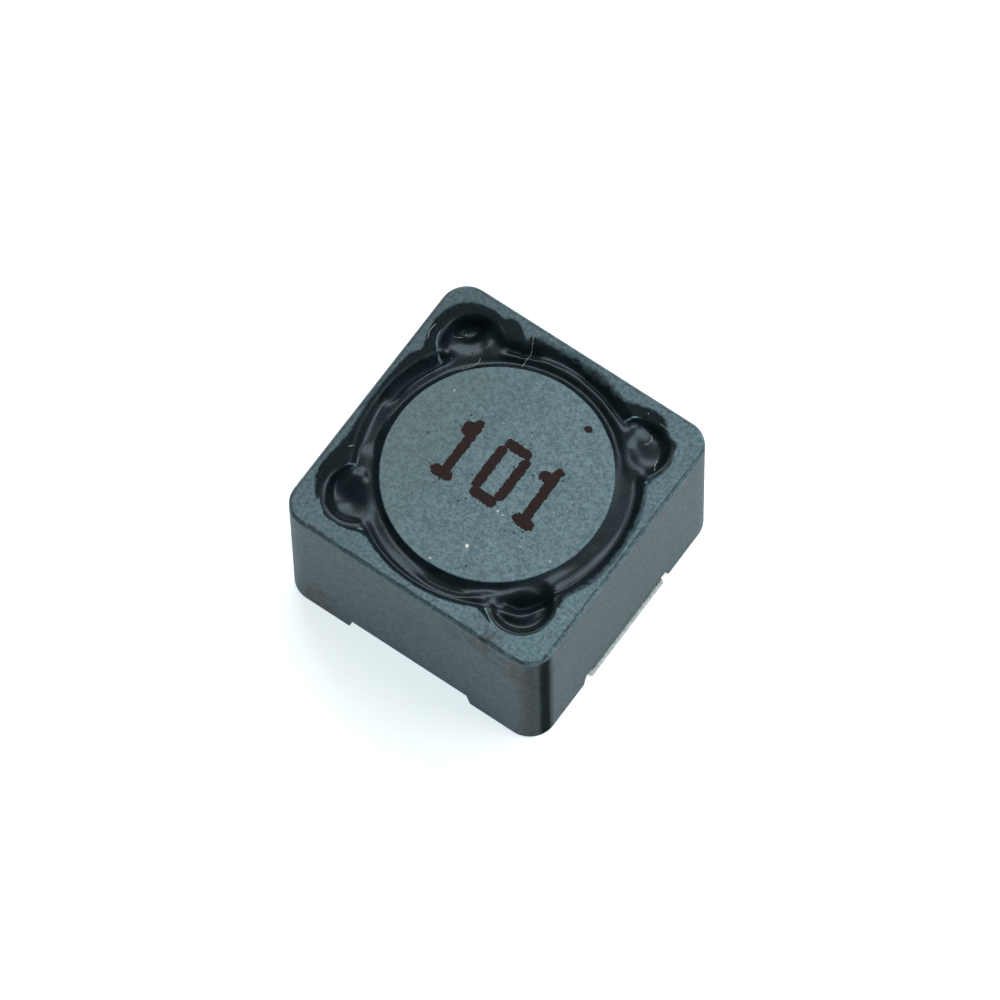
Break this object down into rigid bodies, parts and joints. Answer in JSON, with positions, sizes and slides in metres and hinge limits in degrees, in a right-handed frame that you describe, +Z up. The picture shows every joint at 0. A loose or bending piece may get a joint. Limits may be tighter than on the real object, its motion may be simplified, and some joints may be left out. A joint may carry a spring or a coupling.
{
  "type": "shielded smd inductor",
  "caption": "Square shielded surface-mount inductor: ferrite ring round a wound ferrite drum, locked with black epoxy, on folded tinned terminals.",
  "frame": {"origin": "on the board plane, under the middle of the body", "axes": "+X towards the right-hand terminal, along the reading direction of the printed code; +Y towards the top of the code; +Z up from the board"},
  "size_m": [0.0126, 0.0126, 0.0076],
  "materials": {
    "ring_ferrite": "matte pressed ferrite",
    "drum_ferrite": "matte ground ferrite",
    "copper_wire": "glossy enamelled copper",
    "epoxy": "glossy black epoxy",
    "tinned_strip": "bright tin",
    "solder": "satin solder",
    "ink": "matte printed ink"
  },
  "bodies": {
    "root": {"shield_ring": "ring_ferrite", "drum_core": "drum_ferrite", "winding": "copper_wire", "top_epoxy": "epoxy", "left_terminal": "tinned_strip", "right_terminal": "tinned_strip", "left_solder": "solder", "right_solder": "solder"}
  },
  "joints": []
}
